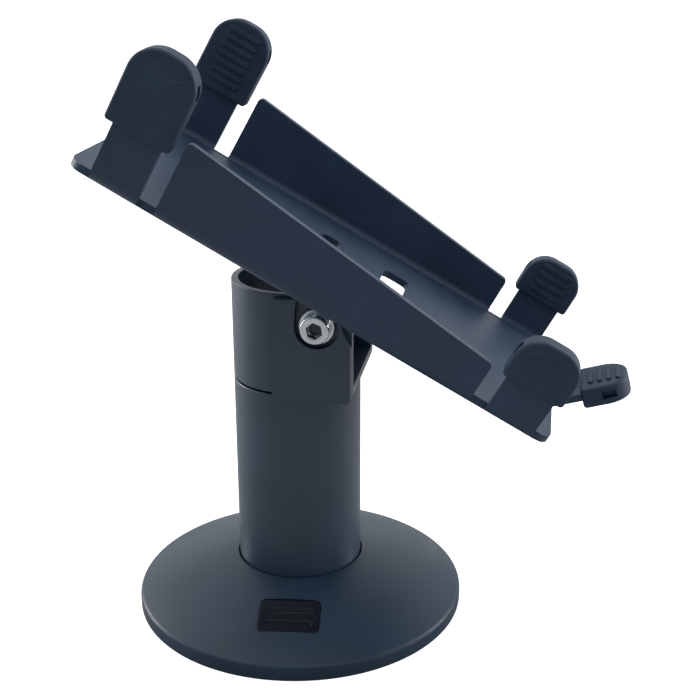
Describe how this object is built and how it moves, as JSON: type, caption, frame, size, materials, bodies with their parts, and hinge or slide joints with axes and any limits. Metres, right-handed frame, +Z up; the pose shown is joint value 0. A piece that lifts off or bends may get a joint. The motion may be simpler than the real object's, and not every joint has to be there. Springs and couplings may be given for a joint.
{
  "type": "payment terminal stand",
  "caption": "Counter stand with a weighted round base, pole, swivel head and tilting clip-in cradle whose rubber-capped fingers hold a card payment terminal.",
  "frame": {"origin": "on the pole axis at the underside of the foot pad, which is the counter surface", "axes": "+Z up along the pole; +X towards the low end of the cradle; +Y along the tilt axis, so the badge side of the base faces -Y"},
  "size_m": [0.1798, 0.12, 0.2067],
  "materials": {
    "powder_coated_sheet": "fine textured powder coat",
    "satin_coated_metal": "satin powder coat",
    "glossy_inlay": "glossy",
    "black_rubber": "matte moulded",
    "stainless_steel": "polished",
    "black_oxide_steel": "black oxide",
    "zinc_plated_steel": "zinc plated",
    "nylon": "natural"
  },
  "bodies": {
    "stand": {"foot_pad": "black_rubber", "base_plate": "satin_coated_metal", "base_badge": "glossy_inlay", "base_screw_1": "black_oxide_steel", "base_screw_2": "black_oxide_steel", "base_screw_3": "black_oxide_steel", "pole_tube": "satin_coated_metal", "pole_bottom_plug": "zinc_plated_steel", "pole_top_plug": "zinc_plated_steel", "swivel_stop_pin": "black_oxide_steel", "swivel_stud": "zinc_plated_steel", "swivel_thrust_washer": "nylon", "swivel_friction_ring": "nylon", "swivel_ring_nut": "zinc_plated_steel"},
    "head": {"swivel_head": "satin_coated_metal", "pivot_washer_near": "stainless_steel", "pivot_washer_far": "stainless_steel", "tilt_friction_washer_near": "nylon", "tilt_friction_washer_far": "nylon"},
    "cradle": {"tilt_bracket": "satin_coated_metal", "cradle_plate": "powder_coated_sheet", "pivot_screw_near": "stainless_steel", "pivot_screw_far": "stainless_steel", "pivot_nut_near": "zinc_plated_steel", "pivot_nut_far": "zinc_plated_steel", "bracket_screw_1": "stainless_steel", "bracket_screw_2": "stainless_steel", "bracket_screw_3": "stainless_steel", "bracket_screw_4": "stainless_steel", "bracket_nut_1": "zinc_plated_steel", "bracket_nut_2": "zinc_plated_steel", "bracket_nut_3": "zinc_plated_steel", "bracket_nut_4": "zinc_plated_steel", "long_cap_near": "black_rubber", "long_cap_far": "black_rubber", "short_cap_near": "black_rubber", "short_cap_far": "black_rubber", "end_cap": "black_rubber"}
  },
  "joints": [
    {"name": "head_swivel", "type": "hinge", "parent": "stand", "child": "head", "pos_m": [0, 0, 0.0892], "axis": [0, 0, 1], "range_deg": [-165, 165]},
    {"name": "cradle_tilt", "type": "hinge", "parent": "head", "child": "cradle", "pos_m": [0.0118, 0, 0.1143], "axis": [0, 1, 0], "range_deg": [-28.6, 30]}
  ]
}
